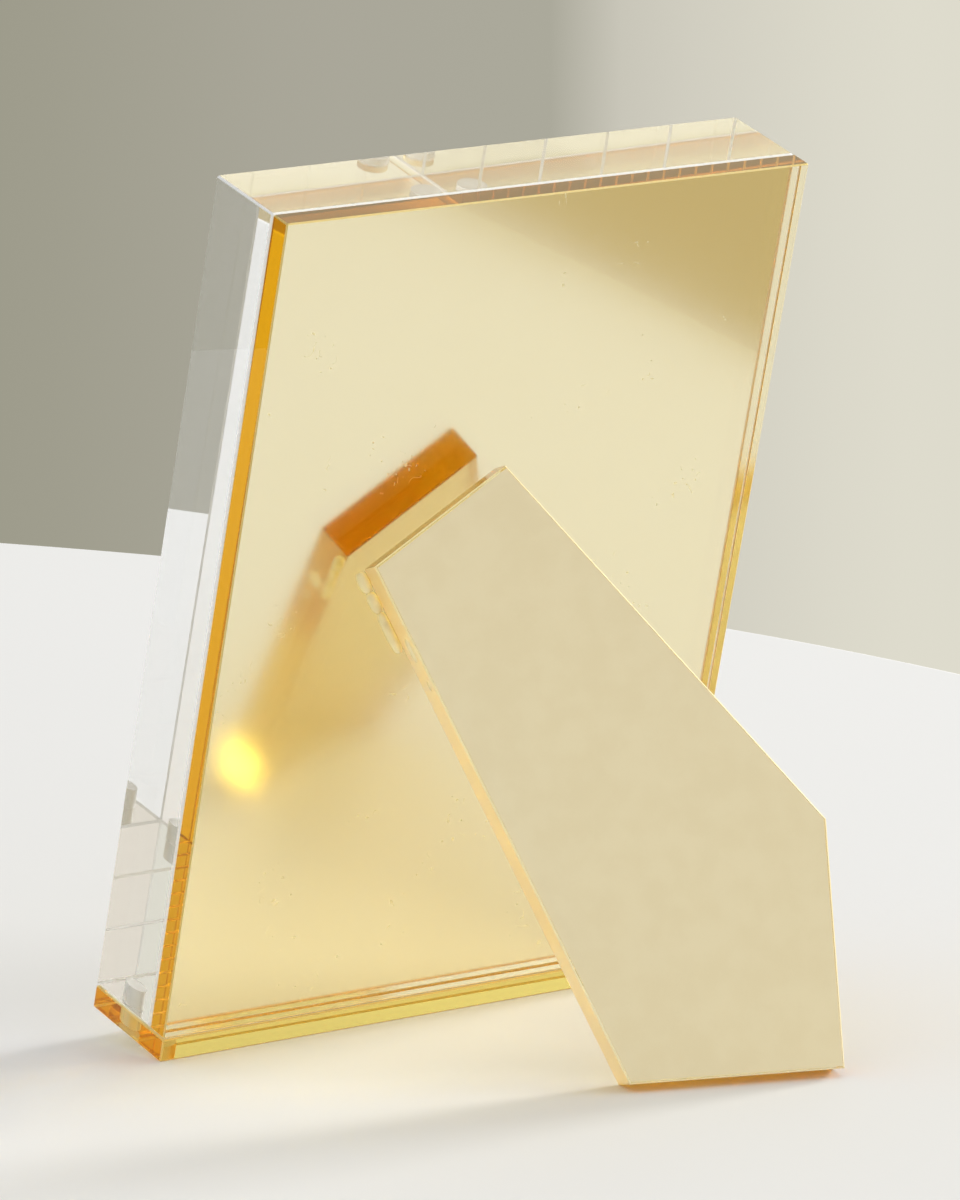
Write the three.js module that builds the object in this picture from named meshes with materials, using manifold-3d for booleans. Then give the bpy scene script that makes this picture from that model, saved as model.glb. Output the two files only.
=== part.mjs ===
// A photo frame of cast acrylic: a thick clear block on an amber mirrored panel with a ledge,
// leaning back on one glued leg. Millimetres and degrees, +Z up, display side toward -Y.
import * as THREE from "three";
import { mergeVertices } from "three/addons/utils/BufferGeometryUtils.js";
import Module from "manifold-3d";

const wasm = await Module();
wasm.setup();

// Clear block, the size of the print behind it.
const blockWidth = 127;
const blockHeight = 177.8;
const blockDepth = 20;
const blockEdgeBreak = 0.4;

// Amber sheet of the panel and the ledge.
const panelThickness = 5;
const ledgeThickness = 5;
const sheetEdgeBreak = 0.3;
const seatGap = 0.3; // between pieces that touch

// Leg: a five-sided plate, glued by its top edge, with a right-angled foot.
const legThickness = 8;
const legEdgeBreak = 0.3;
const leanAngle = 14.8; // of the panel, from upright
const legAngle = 35.4; // between the leg and the panel
const jointTurn = 33.2; // of the glued edge, from level
const jointLength = 34;
const jointInset = 45.4; // from the panel's side to the middle of the glued edge
const jointRise = 115.2; // from the ledge's underside to the same point
const footEdgeUpright = 45; // rests on the table
const footEdgeSideways = 50; // rests when the frame lies on its side

// Disc magnets, upright in the block's underside and in the ledge's top.
const magnetDiameter = 6;
const magnetHeight = 4;
const magnetEdgeBreak = 0.25;
const magnetInset = 6; // from the block's side to the magnet's axis
const pocketClearance = 0.3; // round the magnet and behind it
const cutRunOut = 1; // a cutter's length beyond the face that it opens
const roundSegments = 40;

// Adhesive pressed out along the leg's edge below the joint: place along the edge, length, radius.
const adhesiveGap = 0.3;
const beadBluntness = 0.7; // 1 for a lens, less for a fuller bead
const beadSink = 0.4; // share of the radius that the bead's middle lies above the leg's inner face
const adhesiveBeads = [
  { name: "adhesive_bead_upper", along: 2.3, length: 4.2, radius: 1.25 },
  { name: "adhesive_bead_middle", along: 6.8, length: 4.2, radius: 1.15 },
  { name: "adhesive_bead_lower", along: 13.5, length: 8.6, radius: 1.05 },
];

const clearAcrylic = { color: 0xe9eeee, roughness: 0.04, metalness: 0 };
const amberMirror = { color: 0xf1dea6, roughness: 0.16, metalness: 0.7 };
const amberEdge = { color: 0xef9b06, roughness: 0.06, metalness: 0 };
const beigeBacked = { color: 0xddcfa8, roughness: 0.42, metalness: 0 };
const nickel = { color: 0xc9c9c6, roughness: 0.22, metalness: 1 };
const curedAdhesive = { color: 0xf7e3a0, roughness: 0.25, metalness: 0 };

const lean = THREE.MathUtils.degToRad(leanAngle);

function makeMesh(name, geometry, look) {
  const mesh = new THREE.Mesh(geometry, new THREE.MeshStandardMaterial(look));
  mesh.name = name;
  return mesh;
}

function bareGeometry(geometry) {
  const bare = geometry.clone();
  bare.deleteAttribute("normal");
  bare.deleteAttribute("uv");
  return mergeVertices(bare, 1e-3);
}

function toSolid(geometry) {
  const bare = bareGeometry(geometry);
  return new wasm.Manifold(
    new wasm.Mesh({
      numProp: 3,
      vertProperties: new Float32Array(bare.attributes.position.array),
      triVerts: new Uint32Array(bare.index.array),
    }),
  );
}

function fromSolid(solid) {
  const mesh = solid.getMesh();
  const geometry = new THREE.BufferGeometry();
  geometry.setAttribute("position", new THREE.BufferAttribute(mesh.vertProperties, 3));
  geometry.setIndex(new THREE.BufferAttribute(mesh.triVerts, 1));
  return geometry;
}

// A plate of the outline's full size from z = 0 to the thickness, with every edge broken.
function makePlate(outline, thickness, edgeBreak) {
  const geometry = new THREE.ExtrudeGeometry(new THREE.Shape(outline), {
    depth: thickness - 2 * edgeBreak,
    bevelEnabled: true,
    bevelThickness: edgeBreak,
    bevelSize: edgeBreak,
    bevelOffset: -edgeBreak,
    bevelSegments: 1,
  });
  return geometry.translate(0, 0, edgeBreak);
}

// A rectangle about the origin whose corners are cut off by the same edge break.
function rectangleOutline(width, height, cornerBreak) {
  const x = width / 2;
  const y = height / 2;
  const c = cornerBreak;
  return [
    [-x + c, -y], [x - c, -y], [x, -y + c], [x, y - c],
    [x - c, y], [-x + c, y], [-x, y - c], [-x, -y + c],
  ].map(([px, py]) => new THREE.Vector2(px, py));
}

// A box about the x axis: y from its rear face forward, z from its underside up.
function makeSlab(width, depth, height, edgeBreak) {
  const geometry = makePlate(rectangleOutline(width, depth, edgeBreak), height, edgeBreak);
  return geometry.translate(0, -depth / 2, 0);
}

// The cutter of an upright round pocket for a magnet.
function makePocket(x, y, z0, z1) {
  const radius = magnetDiameter / 2 + pocketClearance;
  const geometry = new THREE.CylinderGeometry(radius, radius, z1 - z0, roundSegments);
  geometry.rotateX(Math.PI / 2).translate(x, y, (z0 + z1) / 2);
  return toSolid(geometry);
}

const assemblyDepth = panelThickness + seatGap + blockDepth;
const seatZ = ledgeThickness + seatGap; // underside of the panel and the block
const blockFrontY = -assemblyDepth;
const blockRearY = blockFrontY + blockDepth;
const magnetX = blockWidth / 2 - magnetInset;
const magnetY = blockFrontY + blockDepth / 2;
const pocketDepth = magnetHeight + pocketClearance;
const magnetSides = [
  { side: "left", x: -magnetX },
  { side: "right", x: magnetX },
];

// Panel, ledge, block and leg share this group, which leans back about the ledge's rear edge.
const leaning = new THREE.Group();
leaning.rotation.x = -lean;

function makeFrontBlock() {
  const slab = makeSlab(blockWidth, blockDepth, blockHeight, blockEdgeBreak).translate(0, blockRearY, seatZ);
  let solid = toSolid(slab);
  for (const { x } of magnetSides) {
    solid = solid.subtract(makePocket(x, magnetY, seatZ - cutRunOut, seatZ + pocketDepth));
  }
  return makeMesh("front_block", fromSolid(solid), clearAcrylic);
}

function makeBackPanel() {
  const slab = makeSlab(blockWidth, panelThickness, blockHeight, sheetEdgeBreak).translate(0, 0, seatZ);
  return makeMesh("back_panel", bareGeometry(slab), amberMirror);
}

function makeLedge() {
  let solid = toSolid(makeSlab(blockWidth, assemblyDepth, ledgeThickness, sheetEdgeBreak));
  for (const { x } of magnetSides) {
    solid = solid.subtract(makePocket(x, magnetY, ledgeThickness - pocketDepth, ledgeThickness + cutRunOut));
  }
  return makeMesh("base_ledge", fromSolid(solid), amberEdge);
}

function makeMagnet(name, x, z0) {
  const radius = magnetDiameter / 2;
  const edge = magnetEdgeBreak;
  const profile = [
    [0, 0], [radius - edge, 0], [radius, edge],
    [radius, magnetHeight - edge], [radius - edge, magnetHeight], [0, magnetHeight],
  ].map(([px, py]) => new THREE.Vector2(px, py));
  const geometry = new THREE.LatheGeometry(profile, roundSegments);
  const magnet = makeMesh(name, bareGeometry(geometry.rotateX(Math.PI / 2)), nickel);
  magnet.position.set(x, magnetY, z0);
  return magnet;
}

// The leg's own axes: x along the glued edge, y up the plate, z out of its beige face.
const turn = THREE.MathUtils.degToRad(jointTurn);
const spread = THREE.MathUtils.degToRad(legAngle);
const legAcross = new THREE.Vector3(-Math.cos(turn), 0, Math.sin(turn));
const legUp = new THREE.Vector3(
  Math.sin(turn) * Math.cos(spread),
  -Math.sin(spread),
  Math.cos(turn) * Math.cos(spread),
);
const legOut = new THREE.Vector3().crossVectors(legAcross, legUp);
const jointMiddle = new THREE.Vector3(blockWidth / 2 - jointInset, 0, jointRise);
const tableUp = new THREE.Vector3(0, -Math.sin(lean), Math.cos(lean));

const legGroup = new THREE.Group();
legGroup.matrixAutoUpdate = false;
legGroup.matrix.makeBasis(legAcross, legUp, legOut).setPosition(jointMiddle);

// The foot's two edges meet at a right angle on the leg's middle line, one of them level with the table.
function footPoints() {
  const rise = tableUp.dot(legUp);
  const slope = tableUp.dot(legAcross);
  const corner = new THREE.Vector2(0, -tableUp.dot(jointMiddle) / rise);
  const upright = new THREE.Vector2(-rise, slope).normalize();
  const sideways = new THREE.Vector2(slope, rise).normalize();
  return {
    corner,
    upright: corner.clone().addScaledVector(upright, footEdgeUpright),
    sideways: corner.clone().addScaledVector(sideways, footEdgeSideways),
  };
}

const foot = footPoints();
const legTop = -seatGap / Math.sin(spread); // the glued edge, clear of the panel
const topLeft = new THREE.Vector2(-jointLength / 2, legTop);
const topRight = new THREE.Vector2(jointLength / 2, legTop);

function makeLeg() {
  const outline = [topLeft, foot.upright, foot.corner, foot.sideways, topRight];
  return makeMesh("easel_leg", bareGeometry(makePlate(outline, legThickness, legEdgeBreak)), beigeBacked);
}

// A long bead, lying against the leg's side along its inner edge.
function makeBead({ name, along, length, radius }) {
  const steps = 10;
  const sides = 14;
  const profile = [];
  for (let i = 0; i <= steps; i += 1) {
    const angle = (Math.PI * i) / steps;
    const r = i === 0 || i === steps ? 0 : radius * Math.sin(angle) ** beadBluntness;
    profile.push(new THREE.Vector2(r, (-length / 2) * Math.cos(angle)));
  }
  const edge = foot.upright.clone().sub(topLeft).normalize();
  const outward = new THREE.Vector2(edge.y, -edge.x);
  const bead = makeMesh(name, bareGeometry(new THREE.LatheGeometry(profile, sides)), curedAdhesive);
  const place = topLeft.clone().addScaledVector(edge, along).addScaledVector(outward, radius + adhesiveGap);
  bead.position.set(place.x, place.y, radius * beadSink);
  bead.rotation.z = Math.atan2(edge.y, edge.x) - Math.PI / 2;
  return bead;
}

leaning.add(makeFrontBlock(), makeBackPanel(), makeLedge());
for (const { side, x } of magnetSides) {
  leaning.add(makeMagnet(`block_magnet_${side}`, x, seatZ));
  leaning.add(makeMagnet(`ledge_magnet_${side}`, x, ledgeThickness - magnetHeight));
}
legGroup.add(makeLeg(), ...adhesiveBeads.map(makeBead));
leaning.add(legGroup);

// The origin is on the table, under the middle of the whole object.
const group = new THREE.Group();
group.add(leaning);
group.updateMatrixWorld(true);
const bounds = new THREE.Box3().setFromObject(group, true);
const middle = bounds.getCenter(new THREE.Vector3());
leaning.position.set(-middle.x, -middle.y, -bounds.min.z);
group.updateMatrixWorld(true);

export default group;
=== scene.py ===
import math
import bmesh
import bpy
from mathutils import Matrix, Vector, noise


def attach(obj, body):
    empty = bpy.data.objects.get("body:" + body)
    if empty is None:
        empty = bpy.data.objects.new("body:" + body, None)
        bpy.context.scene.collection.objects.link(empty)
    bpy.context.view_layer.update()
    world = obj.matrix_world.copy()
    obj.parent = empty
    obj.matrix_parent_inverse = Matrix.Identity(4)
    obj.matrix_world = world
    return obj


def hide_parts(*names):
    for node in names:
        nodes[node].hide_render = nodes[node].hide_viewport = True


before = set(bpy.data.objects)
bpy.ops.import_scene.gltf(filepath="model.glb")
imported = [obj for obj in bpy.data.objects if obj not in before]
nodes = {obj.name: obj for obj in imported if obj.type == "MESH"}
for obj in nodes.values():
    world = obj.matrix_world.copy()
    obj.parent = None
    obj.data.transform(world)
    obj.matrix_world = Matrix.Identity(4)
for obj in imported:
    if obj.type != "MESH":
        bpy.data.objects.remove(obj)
bpy.context.view_layer.update()
print("frame loaded:", len(nodes), "nodes")

# The panel, ledge, block and leg lean back as one.
stance = {
    "lean": 14.8,  # degrees from upright
    "pivot": (0, -0.032695, -0.000077),  # rear edge of the ledge's underside
}
leaning = Matrix.Translation(stance["pivot"]) @ Matrix.Rotation(-math.radians(stance["lean"]), 4, "X")

# The leg's own axes: x along the glued edge, y up the plate, z out of its painted face.
leg = {
    "joint": (0.0181, 0.0, 0.1152),  # middle of the glued edge's inner line, in the leaning frame
    "turn": 33.2,  # degrees of the glued edge from level
    "spread": 35.4,  # degrees between the leg and the panel
    "sideTop": (-0.017, -0.00052),  # upper end of the left side
    "sideDown": (-0.1800, -0.9837),  # direction down the left side
}


def legFrame():
    turn, spread = math.radians(leg["turn"]), math.radians(leg["spread"])
    along = Vector((-math.cos(turn), 0, math.sin(turn)))
    up = Vector((math.sin(turn) * math.cos(spread), -math.sin(spread), math.cos(turn) * math.cos(spread)))
    turned = Matrix((along, up, along.cross(up))).transposed().to_4x4()
    return leaning @ Matrix.Translation(leg["joint"]) @ turned


legPlace = legFrame()
sideDown = Vector((*leg["sideDown"], 0))  # down the left side, in the leg's axes
sideOut = Vector((sideDown.y, -sideDown.x, 0))  # out of the left side, in the leg's axes
legOuter = legPlace.to_3x3() @ Vector((0, 0, 1))  # out of the painted face, in the scene
legLeft = legPlace.to_3x3() @ sideOut  # out of the left side, in the scene


# A wire carries one socket through Python expressions.
class Wire:
    def __init__(self, shader, socket):
        self.shader = shader
        self.socket = socket

    def __add__(self, other):
        return self.shader.math("ADD", self, other)

    __radd__ = __add__

    def __sub__(self, other):
        return self.shader.math("SUBTRACT", self, other)

    def __rsub__(self, other):
        return self.shader.math("SUBTRACT", other, self)

    def __mul__(self, other):
        return self.shader.math("MULTIPLY", self, other)

    __rmul__ = __mul__


class Shader:
    def __init__(self, owner):
        owner.use_nodes = True
        self.tree = owner.node_tree
        self.tree.nodes.clear()

    # Settings are set first; a socket gets a value or a wire. With out=None all outputs come back.
    def node(self, kind, settings=None, inputs=None, out=0):
        made = self.tree.nodes.new(kind)
        for key, value in (settings or {}).items():
            if key == "stops":
                ramp = made.color_ramp.elements
                ramp[0].position, ramp[1].position = value[0][0], value[-1][0]
                for place, colour in value[1:-1]:
                    ramp.new(place)
                for stop, (place, colour) in zip(ramp, value):
                    stop.color = (*colour, 1)
            else:
                setattr(made, key, value)
        for key, value in (inputs or {}).items():
            if isinstance(value, Wire):
                self.tree.links.new(value.socket, made.inputs[key])
            else:
                made.inputs[key].default_value = value
        if out is None:
            return [Wire(self, socket) for socket in made.outputs]
        return Wire(self, made.outputs[out])

    def math(self, operation, a, b=0.0):
        return self.node("ShaderNodeMath", {"operation": operation}, {0: a, 1: b})

    # From 0 at low to 1 at high, smoothly.
    def rise(self, value, low, high):
        return self.node("ShaderNodeMapRange", {"interpolation_type": "SMOOTHSTEP"},
                         {"Value": value, "From Min": low, "From Max": high})

    # Each end is a wire or a colour of three parts. Inputs 6 and 7 and output 2 are the colour ones.
    def blend(self, share, first, second):
        first, second = [end if isinstance(end, Wire) else (*end, 1) for end in (first, second)]
        return self.node("ShaderNodeMix", {"data_type": "RGBA"}, {0: share, 6: first, 7: second}, out=2)

    def noise(self, place, scale, detail):
        return self.node("ShaderNodeTexNoise", None, {"Vector": place, "Scale": scale, "Detail": detail})

    def place(self):
        return self.node("ShaderNodeTexCoord", None, None, out="Object")

    # The direction of the face itself, without smoothing.
    def facing(self):
        return self.node("ShaderNodeNewGeometry", None, None, out="True Normal")

    def stretched(self, place, scale, turn):
        return self.node("ShaderNodeMapping", None, {"Vector": place, "Scale": scale, "Rotation": turn})

    def bump(self, height, strength, distance):
        return self.node("ShaderNodeBump", None,
                         {"Height": height, "Strength": strength, "Distance": distance})

    def vector(self, operation, a, b, out=0):
        return self.node("ShaderNodeVectorMath", {"operation": operation}, {0: a, 1: b}, out)

    def split(self, vector):
        return self.node("ShaderNodeSeparateXYZ", None, {0: vector}, out=None)

    # Turns a direction or place of the leaning frame upright.
    def upright(self, vector):
        return self.node("ShaderNodeVectorRotate", {"rotation_type": "X_AXIS"},
                         {"Vector": vector, "Angle": math.radians(stance["lean"])})

    def surface(self, sockets):
        return self.node("ShaderNodeBsdfPrincipled", None, sockets)

    def mixed(self, share, first, second):
        return self.node("ShaderNodeMixShader", None, {0: share, 1: first, 2: second})

    def output(self, surface, volume=None, kind="ShaderNodeOutputMaterial"):
        inputs = {"Surface": surface}
        if volume:
            inputs["Volume"] = volume
        self.node(kind, None, inputs, out=None)


# Two wires in one, the second with the share given.
def together(first, second, share):
    return first * (1 - share) + second * share


def newLook(name):
    material = bpy.data.materials.new(name)
    return material, Shader(material)


# Cast acrylic, polished: clear for the block, amber for the sheets. Its edges are broken by scraping and
# its magnet pockets are milled, so both are frosted.
acrylic = {
    "clearIor": 1.512,
    "amberIor": 1.505,
    "clearTint": (0.98, 0.995, 1.0),
    "amberTint": (0.995, 0.99, 0.98),
    "absorption": (0.3, 5.2, 38.0),  # amber, per metre
    "densityMargin": 1.02,  # keeps every part of the absorption's colour above 0
    "ledgeShadeDepth": 1.3,  # painted shade: the ledge is cut from the same sheet as the panel but coloured deeper, for the long way light travels along it
    "amberShine": (1.0, 0.75, 0.0),  # tint of what the amber sheet reflects
    "clearFrost": (0.97, 0.98, 0.98),
    "amberFrost": (1.0, 0.90, 0.60),  # in the ledge's pockets
    "frostShade": 0.97,  # how much of its brightness it keeps where it is smudged
    "frostRoughness": 0.55,
    "pocketFrost": 0.6,  # share of the frosted finish in the pockets
    "pocketRoughness": 0.4,
    "dust": 0.012,  # share of the frosted finish on the clear block's faces
    "speckScale": 900.0,  # dust and pits
    "speckRange": (0.90, 0.94),
    "smudgeScale": 38.0,
    "smudgeRoughness": 0.012,
}
scraped = {"frost": 0.9, "roughness": 0.5, "colour": (0.97, 0.98, 0.98)}  # the block's broken edges
eased = {"frost": 0.6, "roughness": 0.3, "colour": (1.0, 0.76, 0.26)}  # those of the panel and the ledge
# The leg's left side and the edges round its painted face.
sawn = {
    "frost": 0.30,
    "roughness": 0.31,
    "colour": (1.0, 0.90, 0.60),
    "edges": 1.8,  # how much rougher those edges are than the left side
}

# Which way a face has to look for a finish to come or go.
turns = {
    "flat": (0.80, 0.90),  # largest squared part of its direction, frame upright
    "left": (0.60, 0.70),  # cosine to the leg's left
    "slant": (0.30, 0.40),  # cosine to the leg's outer side, between a side and its broken edge
    "outer": (0.85, 0.95),  # the same, between that edge and the painted face
}

# The magnet pockets, frame upright. Heights count from the ledge's underside.
pocket = {
    "side": 0.0575,  # from the middle of the frame to a pocket's axis
    "depth": 0.0153,  # from the ledge's rear face to the same
    "reach": 0.00345,  # from the axis to just outside the wall
    "softReach": 0.0001,
    "floor": (0.0003, 0.0005),  # heights just below the ledge's pockets
    "top": 0.011,  # height just above the block's pockets
    "softTop": 0.001,
}


# 1 on the slanting facets that break the edges, 0 on the flat faces.
def brokenEdge(shader):
    normal = shader.upright(shader.facing())
    x, y, z = shader.split(shader.vector("MULTIPLY", normal, normal))
    most = shader.math("MAXIMUM", shader.math("MAXIMUM", x, y), z)
    return 1 - shader.rise(most, *turns["flat"])


# 1 on the leg's left side and its broken edges, more on the edges round the painted face, whose break is
# rougher, and 0 on the polished rest of the leg.
def sawnSide(shader):
    normal = shader.facing()
    left, outer = [shader.vector("DOT_PRODUCT", normal, tuple(way), "Value") for way in (legLeft, legOuter)]
    outerEdge = shader.rise(outer, *turns["slant"]) * (1 - shader.rise(outer, *turns["outer"]))
    return shader.math("MAXIMUM", shader.rise(left, *turns["left"]), outerEdge * sawn["edges"])


# 1 on the walls and the floor of the magnet pockets.
def pocketWall(shader):
    x, y, z = shader.split(shader.upright(shader.vector("SUBTRACT", shader.place(), stance["pivot"])))
    across = shader.math("ABSOLUTE", x) - pocket["side"]
    along = y + pocket["depth"]
    away = shader.math("SQRT", across * across + along * along)
    inside = 1 - shader.rise(away, pocket["reach"], pocket["reach"] + pocket["softReach"])
    below = 1 - shader.rise(z, pocket["top"], pocket["top"] + pocket["softTop"])
    return inside * shader.rise(z, *pocket["floor"]) * below


def acrylicSurface(shader, cut, finish, ior, tint, frost, dust, sockets):
    place = shader.place()
    speck = shader.rise(shader.noise(place, acrylic["speckScale"], detail=1.0), *acrylic["speckRange"])
    smudge = shader.noise(place, acrylic["smudgeScale"], detail=3.0)
    edge = cut(shader)
    milled = pocketWall(shader)
    rough = smudge * acrylic["smudgeRoughness"] + edge * finish["roughness"]
    glass = shader.surface({
        "Base Color": shader.blend(smudge, tint, (1, 1, 1)),
        "Roughness": rough + milled * acrylic["pocketRoughness"],
        "IOR": ior,
        "Transmission Weight": 1.0,
        **sockets,
    })
    dusty = shader.blend(smudge, frost, [acrylic["frostShade"] * part for part in frost])
    frosted = shader.surface({
        "Base Color": shader.blend(edge, dusty, finish["colour"]),
        "Roughness": acrylic["frostRoughness"],
    })
    share = shader.math("MAXIMUM", edge * finish["frost"], milled * acrylic["pocketFrost"])
    return shader.mixed(shader.math("MAXIMUM", share, (smudge + speck) * dust), glass, frosted)


def clearAcrylic():
    material, shader = newLook("clearAcrylic")
    shader.output(acrylicSurface(shader, brokenEdge, scraped, acrylic["clearIor"], acrylic["clearTint"],
                                 acrylic["clearFrost"], acrylic["dust"], {}))
    return material


def amberAcrylic(name, cut, finish, depth=1.0):
    material, shader = newLook(name)
    density = max(acrylic["absorption"]) * depth * acrylic["densityMargin"]
    colour = [1 - share * depth / density for share in acrylic["absorption"]]
    inside = shader.node("ShaderNodeVolumeAbsorption", None, {"Color": (*colour, 1), "Density": density})
    shine = {"Specular Tint": (*acrylic["amberShine"], 1)}
    shader.output(acrylicSurface(shader, cut, finish, acrylic["amberIor"], acrylic["amberTint"],
                                 acrylic["amberFrost"], 0.0, shine), inside)
    return material


# Vacuum-coated mirror under the sheet, with a satin lustre and a few pale specks and curled scratches.
mirror = {
    "panelColour": (0.975, 0.945, 0.95),
    "panelSatin": 0.14,  # roughness
    "legColour": (0.95, 0.92, 0.88),
    "legSatin": 0.10,
    "cloudScale": 26.0,
    "cloudRoughness": 0.03,
    "speck": (1.0, 0.96, 0.88),
    "speckRoughness": 0.35,
    "patchScale": 45.0,  # specks and scratches lie only in patches
    "patchRange": (0.56, 0.64),
    "dotScale": 1000.0,
    "dotRange": (0.76, 0.81),
    "scratchScale": 260.0,
    "scratchRange": (0.003, 0.010),
    "breakScale": 410.0,  # leaves short pieces of each scratch
    "breakRange": (0.66, 0.70),
}


def satinMirror(name, colour, satin):
    material, shader = newLook(name)
    place = shader.place()
    cloud = shader.noise(place, mirror["cloudScale"], detail=3.0)
    patch = shader.rise(shader.noise(place, mirror["patchScale"], detail=2.0), *mirror["patchRange"])
    dot = shader.rise(shader.noise(place, mirror["dotScale"], detail=0.0), *mirror["dotRange"])
    curl = shader.math("ABSOLUTE", shader.noise(place, mirror["scratchScale"], detail=1.0) - 0.5)
    line = 1 - shader.rise(curl, *mirror["scratchRange"])
    part = shader.rise(shader.noise(place, mirror["breakScale"], detail=0.0), *mirror["breakRange"])
    scratch = line * part
    speck = shader.math("MAXIMUM", dot, scratch) * patch
    smooth = satin - mirror["cloudRoughness"] / 2
    shader.output(shader.surface({
        "Base Color": shader.blend(speck, colour, mirror["speck"]),
        "Metallic": 1.0,
        "Roughness": smooth + cloud * mirror["cloudRoughness"] + speck * mirror["speckRoughness"],
    }))
    return material


# Satin backing paint, softly mottled, with a few faint scuffs.
paint = {
    "colour": (0.86, 0.745, 0.475),
    "paler": (0.88, 0.77, 0.50),
    "metallic": 0.1,
    "satin": 0.42,
    "satinSpread": 0.08,
    "mottleScale": 160.0,
    "mottleRange": (0.35, 0.65),
    "grainScale": 3000.0,
    "grainShare": 0.2,  # in the colour, beside the mottle
    "grainRelief": 0.3,  # in the relief, beside the mottle
    "scuffScale": (60, 60, 1300),
    "scuffTurn": (0.3, 0.0, 0.6),
    "scuffRange": (0.64, 0.72),
    "scuffShare": 0.5,
    "reliefStrength": 0.08,
    "relief": 0.00004,
}


def backingPaint():
    material, shader = newLook("backingPaint")
    place = shader.place()
    mottle = shader.noise(place, paint["mottleScale"], detail=3.0)
    grain = shader.noise(place, paint["grainScale"], detail=2.0)
    scuff = shader.noise(shader.stretched(place, paint["scuffScale"], paint["scuffTurn"]), 1.0, detail=3.0)
    mark = shader.rise(scuff, *paint["scuffRange"]) * paint["scuffShare"]
    share = shader.rise(together(mottle, grain, paint["grainShare"]), *paint["mottleRange"])
    relief = together(mottle, grain, paint["grainRelief"])
    smooth = paint["satin"] - paint["satinSpread"] / 2
    shader.output(shader.surface({
        "Base Color": shader.blend(share, paint["colour"], paint["paler"]),
        "Metallic": paint["metallic"],
        "Roughness": smooth + share * paint["satinSpread"] - mark * paint["satinSpread"],
        "Normal": shader.bump(relief, paint["reliefStrength"], paint["relief"]),
    }))
    return material


nickel = {
    "colour": (0.95, 0.94, 0.92),
    "paler": (0.97, 0.96, 0.94),
    "roughness": 0.33,
    "roughnessSpread": 0.12,
    "cloudScale": 700.0,
    "reliefStrength": 0.15,
    "relief": 0.00003,
}


def nickelPlate():
    material, shader = newLook("nickelPlate")
    cloud = shader.noise(shader.place(), nickel["cloudScale"], detail=3.0)
    shader.output(shader.surface({
        "Base Color": shader.blend(cloud, nickel["colour"], nickel["paler"]),
        "Metallic": 1.0,
        "Roughness": nickel["roughness"] + cloud * nickel["roughnessSpread"],
        "Normal": shader.bump(cloud, nickel["reliefStrength"], nickel["relief"]),
    }))
    return material


# Cured acrylic cement: clear with a pale yellow tinge, milky where it is thick. In the beads the milky colour
# is also painted light, the warm glow that reaches them through the amber.
adhesive = {
    "colour": (1.0, 0.95, 0.78),
    "paler": (1.0, 0.98, 0.92),
    "ior": 1.47,
    "roughness": 0.06,
    "roughnessSpread": 0.08,
    "waveScale": 260.0,
    "reliefStrength": 0.05,
    "relief": 0.0001,
    # the beads' milky colour: partly the cement's own cream, partly painted glow of the amber light around
    # them
    "beadMilkAndGlow": ((1.0, 0.84, 0.42), (1.0, 0.90, 0.55)),
    "beadShare": 0.95,  # of milk in the beads
    "filmMilk": ((1.0, 0.90, 0.55), (1.0, 0.95, 0.70)),
    "filmShare": 1.0,
    "milkSpread": 0.6,  # from the milkiest to the clearest place, as a part of the share
    "milkRoughness": 0.25,
}


def curedAdhesive(name, milkShare, milk):
    material, shader = newLook(name)
    wave = shader.noise(shader.place(), adhesive["waveScale"], detail=2.0)
    clear = shader.surface({
        "Base Color": shader.blend(wave, adhesive["colour"], adhesive["paler"]),
        "Roughness": adhesive["roughness"] + wave * adhesive["roughnessSpread"],
        "IOR": adhesive["ior"],
        "Transmission Weight": 1.0,
        "Normal": shader.bump(wave, adhesive["reliefStrength"], adhesive["relief"]),
    })
    milky = shader.surface({
        "Base Color": shader.blend(wave, *milk),
        "Roughness": adhesive["milkRoughness"],
    })
    spread = adhesive["milkSpread"]
    shader.output(shader.mixed(milkShare * (1 - spread / 2 + spread * wave), clear, milky))
    return material


looks = {
    "clear": clearAcrylic(),
    "amber": amberAcrylic("amberAcrylic", brokenEdge, eased),
    # The ledge's copy of the amber is coloured deeper than the panel's: painted shade for the long way light
    # travels along the ledge.
    "shadedAmberLedge": amberAcrylic("shadedAmberLedgeAcrylic", brokenEdge, eased, acrylic["ledgeShadeDepth"]),
    "amberLeg": amberAcrylic("amberLegAcrylic", sawnSide, sawn),
    "panelMirror": satinMirror("panelMirror", mirror["panelColour"], mirror["panelSatin"]),
    "legMirror": satinMirror("legMirror", mirror["legColour"], mirror["legSatin"]),
    "paint": backingPaint(),
    "nickel": nickelPlate(),
    # The beads' milky colour holds painted light, the warm glow around them, beside the cement's own cream.
    "adhesive": curedAdhesive("curedAdhesive", adhesive["beadShare"], adhesive["beadMilkAndGlow"]),
    "film": curedAdhesive("adhesiveFilm", adhesive["filmShare"], adhesive["filmMilk"]),
}
nodeLooks = {
    "front_block": "clear",
    "back_panel": "amber",
    "base_ledge": "shadedAmberLedge",
    "easel_leg": "amberLeg",
    "block_magnet_left": "nickel",
    "block_magnet_right": "nickel",
    "ledge_magnet_left": "nickel",
    "ledge_magnet_right": "nickel",
}
for name, look in nodeLooks.items():
    for slot in nodes[name].material_slots:
        slot.material = looks[look]
print("materials made:", len(looks))

# How near things must be to count as one place, one direction (a cosine), one plane or one face.
near = {"place": 1e-6, "facing": 0.999, "plane": 1e-5, "angle": 0.01}


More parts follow.
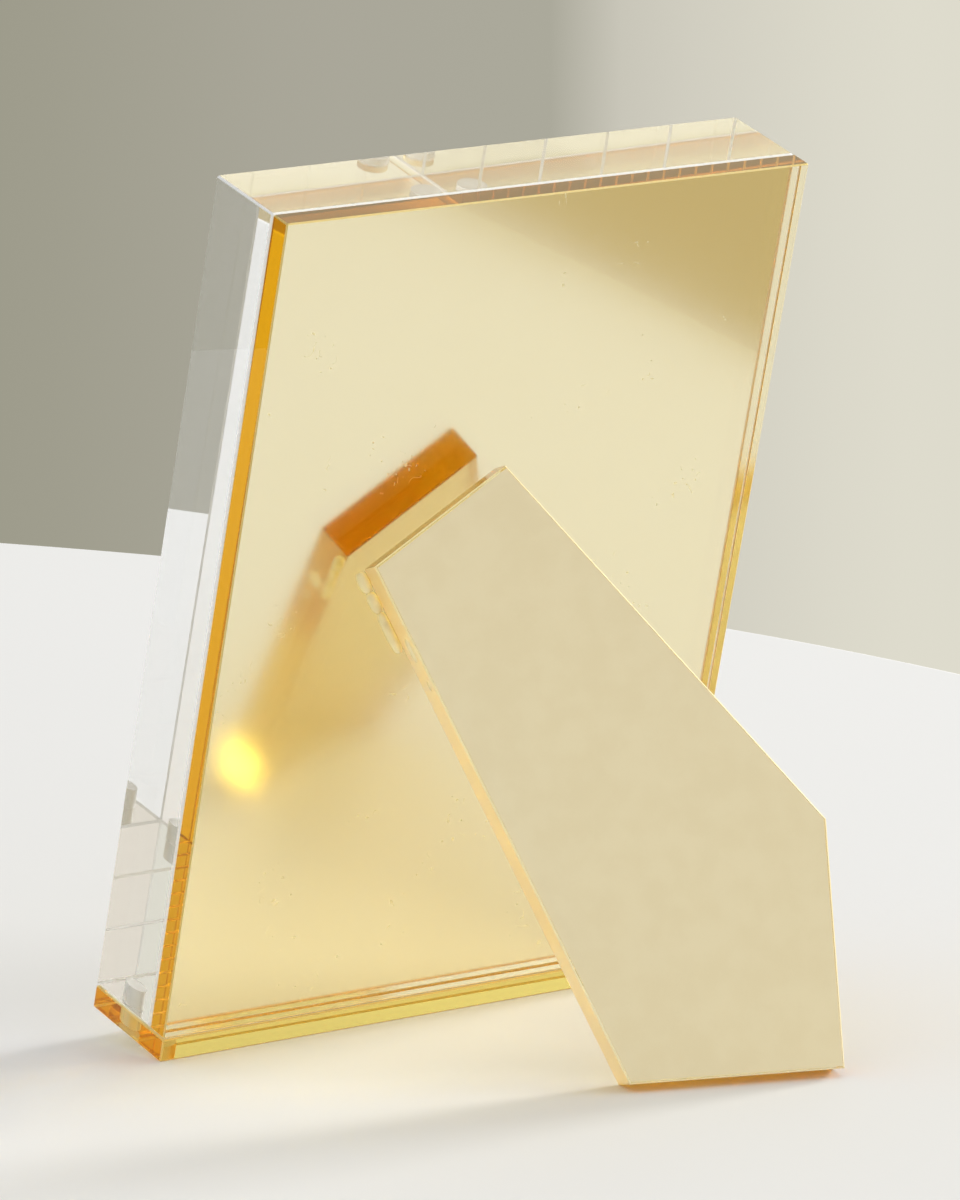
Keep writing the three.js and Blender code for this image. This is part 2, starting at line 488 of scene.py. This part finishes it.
# The corners of a node's flat face that looks a given way, in order round it.
def flatFace(name, facing):
    shape = bmesh.new()
    shape.from_mesh(nodes[name].data)
    bmesh.ops.remove_doubles(shape, verts=shape.verts, dist=near["place"])
    plane = max(v.co.dot(facing) for v in shape.verts) - near["plane"]
    away = [f for f in shape.faces
            if f.normal.dot(facing) < near["facing"] or f.calc_center_median().dot(facing) < plane]
    bmesh.ops.delete(shape, geom=away, context="FACES")
    bmesh.ops.dissolve_limit(shape, angle_limit=near["angle"], verts=shape.verts, edges=shape.edges)
    face = max(shape.faces, key=lambda f: f.calc_area())
    corners = [v.co.copy() for v in face.verts]
    if face.normal.dot(facing) < 0:
        corners.reverse()
    shape.free()
    return corners


def newPiece(name, shape, materials):
    data = bpy.data.meshes.new(name)
    shape.to_mesh(data)
    shape.free()
    piece = bpy.data.objects.new(name, data)
    bpy.context.scene.collection.objects.link(piece)
    for material in materials:
        data.materials.append(material)
    return piece


# A thin closed coat on a flat face: mirror toward the sheet, paint on its free side. On the panel it lies
# loose against the sheet, which keeps its own polished face; on the leg it is bonded.
coats = {
    "panel": {"from": 0.00003, "to": 0.00020, "inset": 0.00012},
    "leg": {"from": -0.00005, "to": 0.00008, "inset": 0.00022},
}


def makeCoat(name, node, facing, coat, look):
    corners = flatFace(node, facing)
    middle = sum(corners, Vector()) / len(corners)
    shape = bmesh.new()
    rings = []
    for height in (coat["from"], coat["to"]):
        ring = []
        for corner in corners:
            inward = (middle - corner).normalized() * coat["inset"]
            ring.append(shape.verts.new(corner + inward + facing * height))
        rings.append(ring)
    shape.faces.new(list(reversed(rings[0]))).material_index = 0
    shape.faces.new(rings[1]).material_index = 1
    for i in range(len(corners)):
        j = (i + 1) % len(corners)
        shape.faces.new((rings[0][i], rings[0][j], rings[1][j], rings[1][i])).material_index = 1
    return newPiece(name, shape, (looks[look], looks["paint"]))


panelFront = leaning.to_3x3() @ Vector((0, -1, 0))
panelCoat = makeCoat("panel_coat", "back_panel", panelFront, coats["panel"], "panelMirror")
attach(panelCoat, "stand")

legCoat = makeCoat("leg_coat", "easel_leg", legOuter, coats["leg"], "legMirror")
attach(legCoat, "stand")
print("coats made")

lumps = {
    "steps": 22,
    "sides": 24,
    "swellScale": 1.6,
    "swellShift": 3000,  # gives every lump a form of its own
}


# Squeezed-out cement: a smooth lump about a centre, longest along the leg's side.
def makeLump(name, centre, half, form, look):
    axes = (sideDown, sideOut, Vector((0, 0, 1)))
    steps, sides = lumps["steps"], lumps["sides"]
    centre = Vector(centre)
    shape = bmesh.new()
    rings = []
    for i in range(1, steps):
        t = -math.cos(math.pi * i / steps)
        girth = (1 - abs(t) ** form["blunt"]) ** 0.5
        ring = []
        for k in range(sides):
            angle = 2 * math.pi * k / sides
            local = Vector((t, girth * math.cos(angle), girth * math.sin(angle)))
            ripple = noise.noise(local * lumps["swellScale"] + centre * lumps["swellShift"])
            swell = 1 - form["wobble"] * (0.5 + 0.5 * ripple)
            point = centre.copy()
            for axis, reach, part in zip(axes, half, local):
                point += axis * (reach * part * (swell if axis is not sideDown else 1))
            ring.append(shape.verts.new(legPlace @ point))
        rings.append(ring)
    for one, other in zip(rings, rings[1:]):
        for k in range(sides):
            j = (k + 1) % sides
            shape.faces.new((one[k], other[k], other[j], one[j]))
    for ring, end in ((rings[0], -1), (rings[-1], 1)):
        tip = shape.verts.new(legPlace @ (centre + sideDown * (half[0] * end)))
        for k in range(sides):
            shape.faces.new((ring[k], ring[(k + 1) % sides], tip))
    bmesh.ops.recalc_face_normals(shape, faces=shape.faces)
    for face in shape.faces:
        face.smooth = True
    return newPiece(name, shape, (looks[look],))


def glued(piece):
    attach(piece, "stand")


# The three beads, each a little longer and closer to the leg than its solid, so that they run together.
beads = {
    "adhesive_bead_upper": {"blunt": 3.0, "wobble": 0.14, "stretch": 1.10},
    "adhesive_bead_middle": {"blunt": 4.0, "wobble": 0.12, "stretch": 1.10},
    "adhesive_bead_lower": {"blunt": 6.0, "wobble": 0.16, "stretch": 1.06},
}
beadFit = {"toLeg": 0.00022, "height": 1.08, "width": 1.05}  # height out of the leg's side, width across it
inLeg = legPlace.inverted()
for name, bead in beads.items():
    points = [inLeg @ v.co for v in nodes[name].data.vertices]
    centre = sum(points, Vector()) / len(points)
    reach = max(abs((p - centre).dot(sideDown)) for p in points)
    radius = max(abs(p.z - centre.z) for p in points)
    half = (reach * bead["stretch"], radius * beadFit["height"], radius * beadFit["width"])
    lump = makeLump(name + "_lump", centre - sideOut * beadFit["toLeg"], half, bead, "adhesive")
    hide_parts(name)
    glued(lump)

# Thin smears on the leg's left side: distance down it, distance from the inner face, half length, height
# off the side and half width.
smears = {
    "adhesive_smear_upper": {"down": 0.0183, "rise": 0.0046, "half": (0.0027, 0.00016, 0.0020)},
    "adhesive_smear_lower": {"down": 0.0262, "rise": 0.0052, "half": (0.0011, 0.00012, 0.0010)},
}
smearForm = {"blunt": 2.2, "wobble": 0.4}
for name, smear in smears.items():
    x, y = (top + step * smear["down"] for top, step in zip(leg["sideTop"], leg["sideDown"]))
    glued(makeLump(name, (x, y, smear["rise"]), smear["half"], smearForm, "film"))
print("cement made")

# Round pale table, whose far edge stands behind the frame.
tableTop = {
    "centre": (0.2849, -0.1575),
    "radius": 0.587,
    "thickness": 0.03,
    "edge": 0.004,
    "edgeSteps": 4,
    "sides": 256,
    "colour": (0.81, 0.81, 0.80),
    "paler": (0.83, 0.83, 0.82),
    "cloudScale": 3.0,
    "roughness": 0.62,
    "roughnessSpread": 0.04,
}


def makeTable():
    edge, radius, depth = tableTop["edge"], tableTop["radius"], tableTop["thickness"]
    steps, sides = tableTop["edgeSteps"], tableTop["sides"]
    profile = [(radius - edge, 0)]
    for i in range(1, steps + 1):
        angle = math.radians(90 - 90 / steps * i)
        profile.append((radius - edge + edge * math.cos(angle), edge * (math.sin(angle) - 1)))
    profile.append((radius, edge - depth))
    shape = bmesh.new()
    cx, cy = tableTop["centre"]
    around = [2 * math.pi * i / sides for i in range(sides)]
    rings = []
    for r, z in profile:
        rings.append([shape.verts.new((cx + r * math.cos(t), cy + r * math.sin(t), z)) for t in around])
    shape.faces.new(rings[0])
    for upper, lower in zip(rings, rings[1:]):
        for i in range(sides):
            j = (i + 1) % sides
            shape.faces.new((upper[i], lower[i], lower[j], upper[j])).smooth = True
    shape.faces.new(list(reversed(rings[-1])))
    material, shader = newLook("paleTable")
    cloud = shader.noise(shader.place(), tableTop["cloudScale"], detail=3.0)
    shader.output(shader.surface({
        "Base Color": shader.blend(cloud, tableTop["colour"], tableTop["paler"]),
        "Roughness": tableTop["roughness"] + cloud * tableTop["roughnessSpread"],
        "Specular IOR Level": 0.0,
    }))
    return newPiece("table", shape, (material,))


table = makeTable()
print("table made")

# What surrounds the table: soft light for what is lit, a plain room for what is seen or mirrored.
room = {
    "light": (0.73, 0.73, 0.725),
    # places across the room, 0.5 for the middle of the picture and more to its right
    "wall": [(0.474, (0.34, 0.33, 0.26)), (0.490, (0.40, 0.385, 0.32)), (0.506, (0.41, 0.40, 0.33)),
             (0.508, (0.60, 0.58, 0.50)), (0.522, (0.73, 0.71, 0.61))],
    "right": (-0.8136, 0.5815),  # the picture's right, level
    "ground": (0.56, 0.46, 0.26),
    "groundRange": (-0.42, -0.28),
    "above": (0.76, 0.70, 0.60),
    "aboveRange": (0.15, 0.6),
}
world = bpy.data.worlds.new("room")
bpy.context.scene.world = world
sky = Shader(world)
direction = sky.node("ShaderNodeTexCoord", None, None, out="Generated")
east, north, height = sky.split(direction)
across = 0.5 + 0.5 * (east * room["right"][0] + north * room["right"][1])
wall = sky.node("ShaderNodeValToRGB", {"stops": room["wall"]}, {0: across})
ground = sky.blend(sky.rise(height, *room["groundRange"]), room["ground"], wall)
seen = sky.blend(sky.rise(height, *room["aboveRange"]), ground, room["above"])
isSeen = sky.node("ShaderNodeLightPath", None, None, out="Is Camera Ray")
for kind in ("Is Glossy Ray", "Is Transmission Ray"):
    isSeen = sky.math("MAXIMUM", isSeen, sky.node("ShaderNodeLightPath", None, None, out=kind))
colour = sky.blend(isSeen, room["light"], seen)
sky.output(sky.node("ShaderNodeBackground", None, {"Color": colour, "Strength": 1.0}),
           kind="ShaderNodeOutputWorld")

# Low window light from the picture's right and from beyond the frame, a weaker window straight to the
# right, and a small skylight beyond the frame that the top faces mirror.
lamps = {
    "window": {"place": (-4.208, 0.0, 1.336), "size": 1.0, "power": 128.0, "colour": (1.0, 0.985, 0.96)},
    "rearWindow": {"place": (-3.142, 2.454, 1.910), "size": 1.8, "power": 40.0, "colour": (1.0, 0.985, 0.96)},
    "skylight": {"place": (-1.74, -1.76, 1.80), "size": 0.6, "power": 1.15, "colour": (1.0, 0.88, 0.60),
                 "seenThrough": False},
}
lampAim = Vector((0, 0, 0.05))
for name, lamp in lamps.items():
    data = bpy.data.lights.new(name, "AREA")
    data.shape = "SQUARE"
    data.size = lamp["size"]
    data.energy = lamp["power"]
    data.color = lamp["colour"]
    holder = bpy.data.objects.new(name, data)
    bpy.context.scene.collection.objects.link(holder)
    holder.location = lamp["place"]
    holder.visible_transmission = lamp.get("seenThrough", True)
    holder.rotation_euler = (lampAim - Vector(lamp["place"])).to_track_quat("-Z", "Y").to_euler()
print("lights made")

camera = {
    "place": (1.03830, 1.44159, 0.46610),
    "aim": (-0.014573, -0.031233, 0.085609),
    "lens": 272.3,
    "sensor": 36.0,
    "nearest": 0.05,
}
data = bpy.data.cameras.new("camera")
data.sensor_fit = "AUTO"
data.sensor_width = camera["sensor"]
data.lens = camera["lens"]
data.clip_start = camera["nearest"]
eye = bpy.data.objects.new("camera", data)
bpy.context.scene.collection.objects.link(eye)
eye.location = camera["place"]
toward = Vector(camera["aim"]) - Vector(camera["place"])
eye.rotation_euler = toward.to_track_quat("-Z", "Y").to_euler()
bpy.context.scene.camera = eye

scene = bpy.context.scene
scene.view_settings.view_transform = "Standard"
scene.cycles.max_bounces = 40  # light crosses the block many times
scene.cycles.transmission_bounces = 40
scene.cycles.glossy_bounces = 24
scene.cycles.diffuse_bounces = 4
scene.cycles.blur_glossy = 0.0  # light reaches the table through the acrylic undimmed
scene.cycles.use_denoising = True
print("camera set")
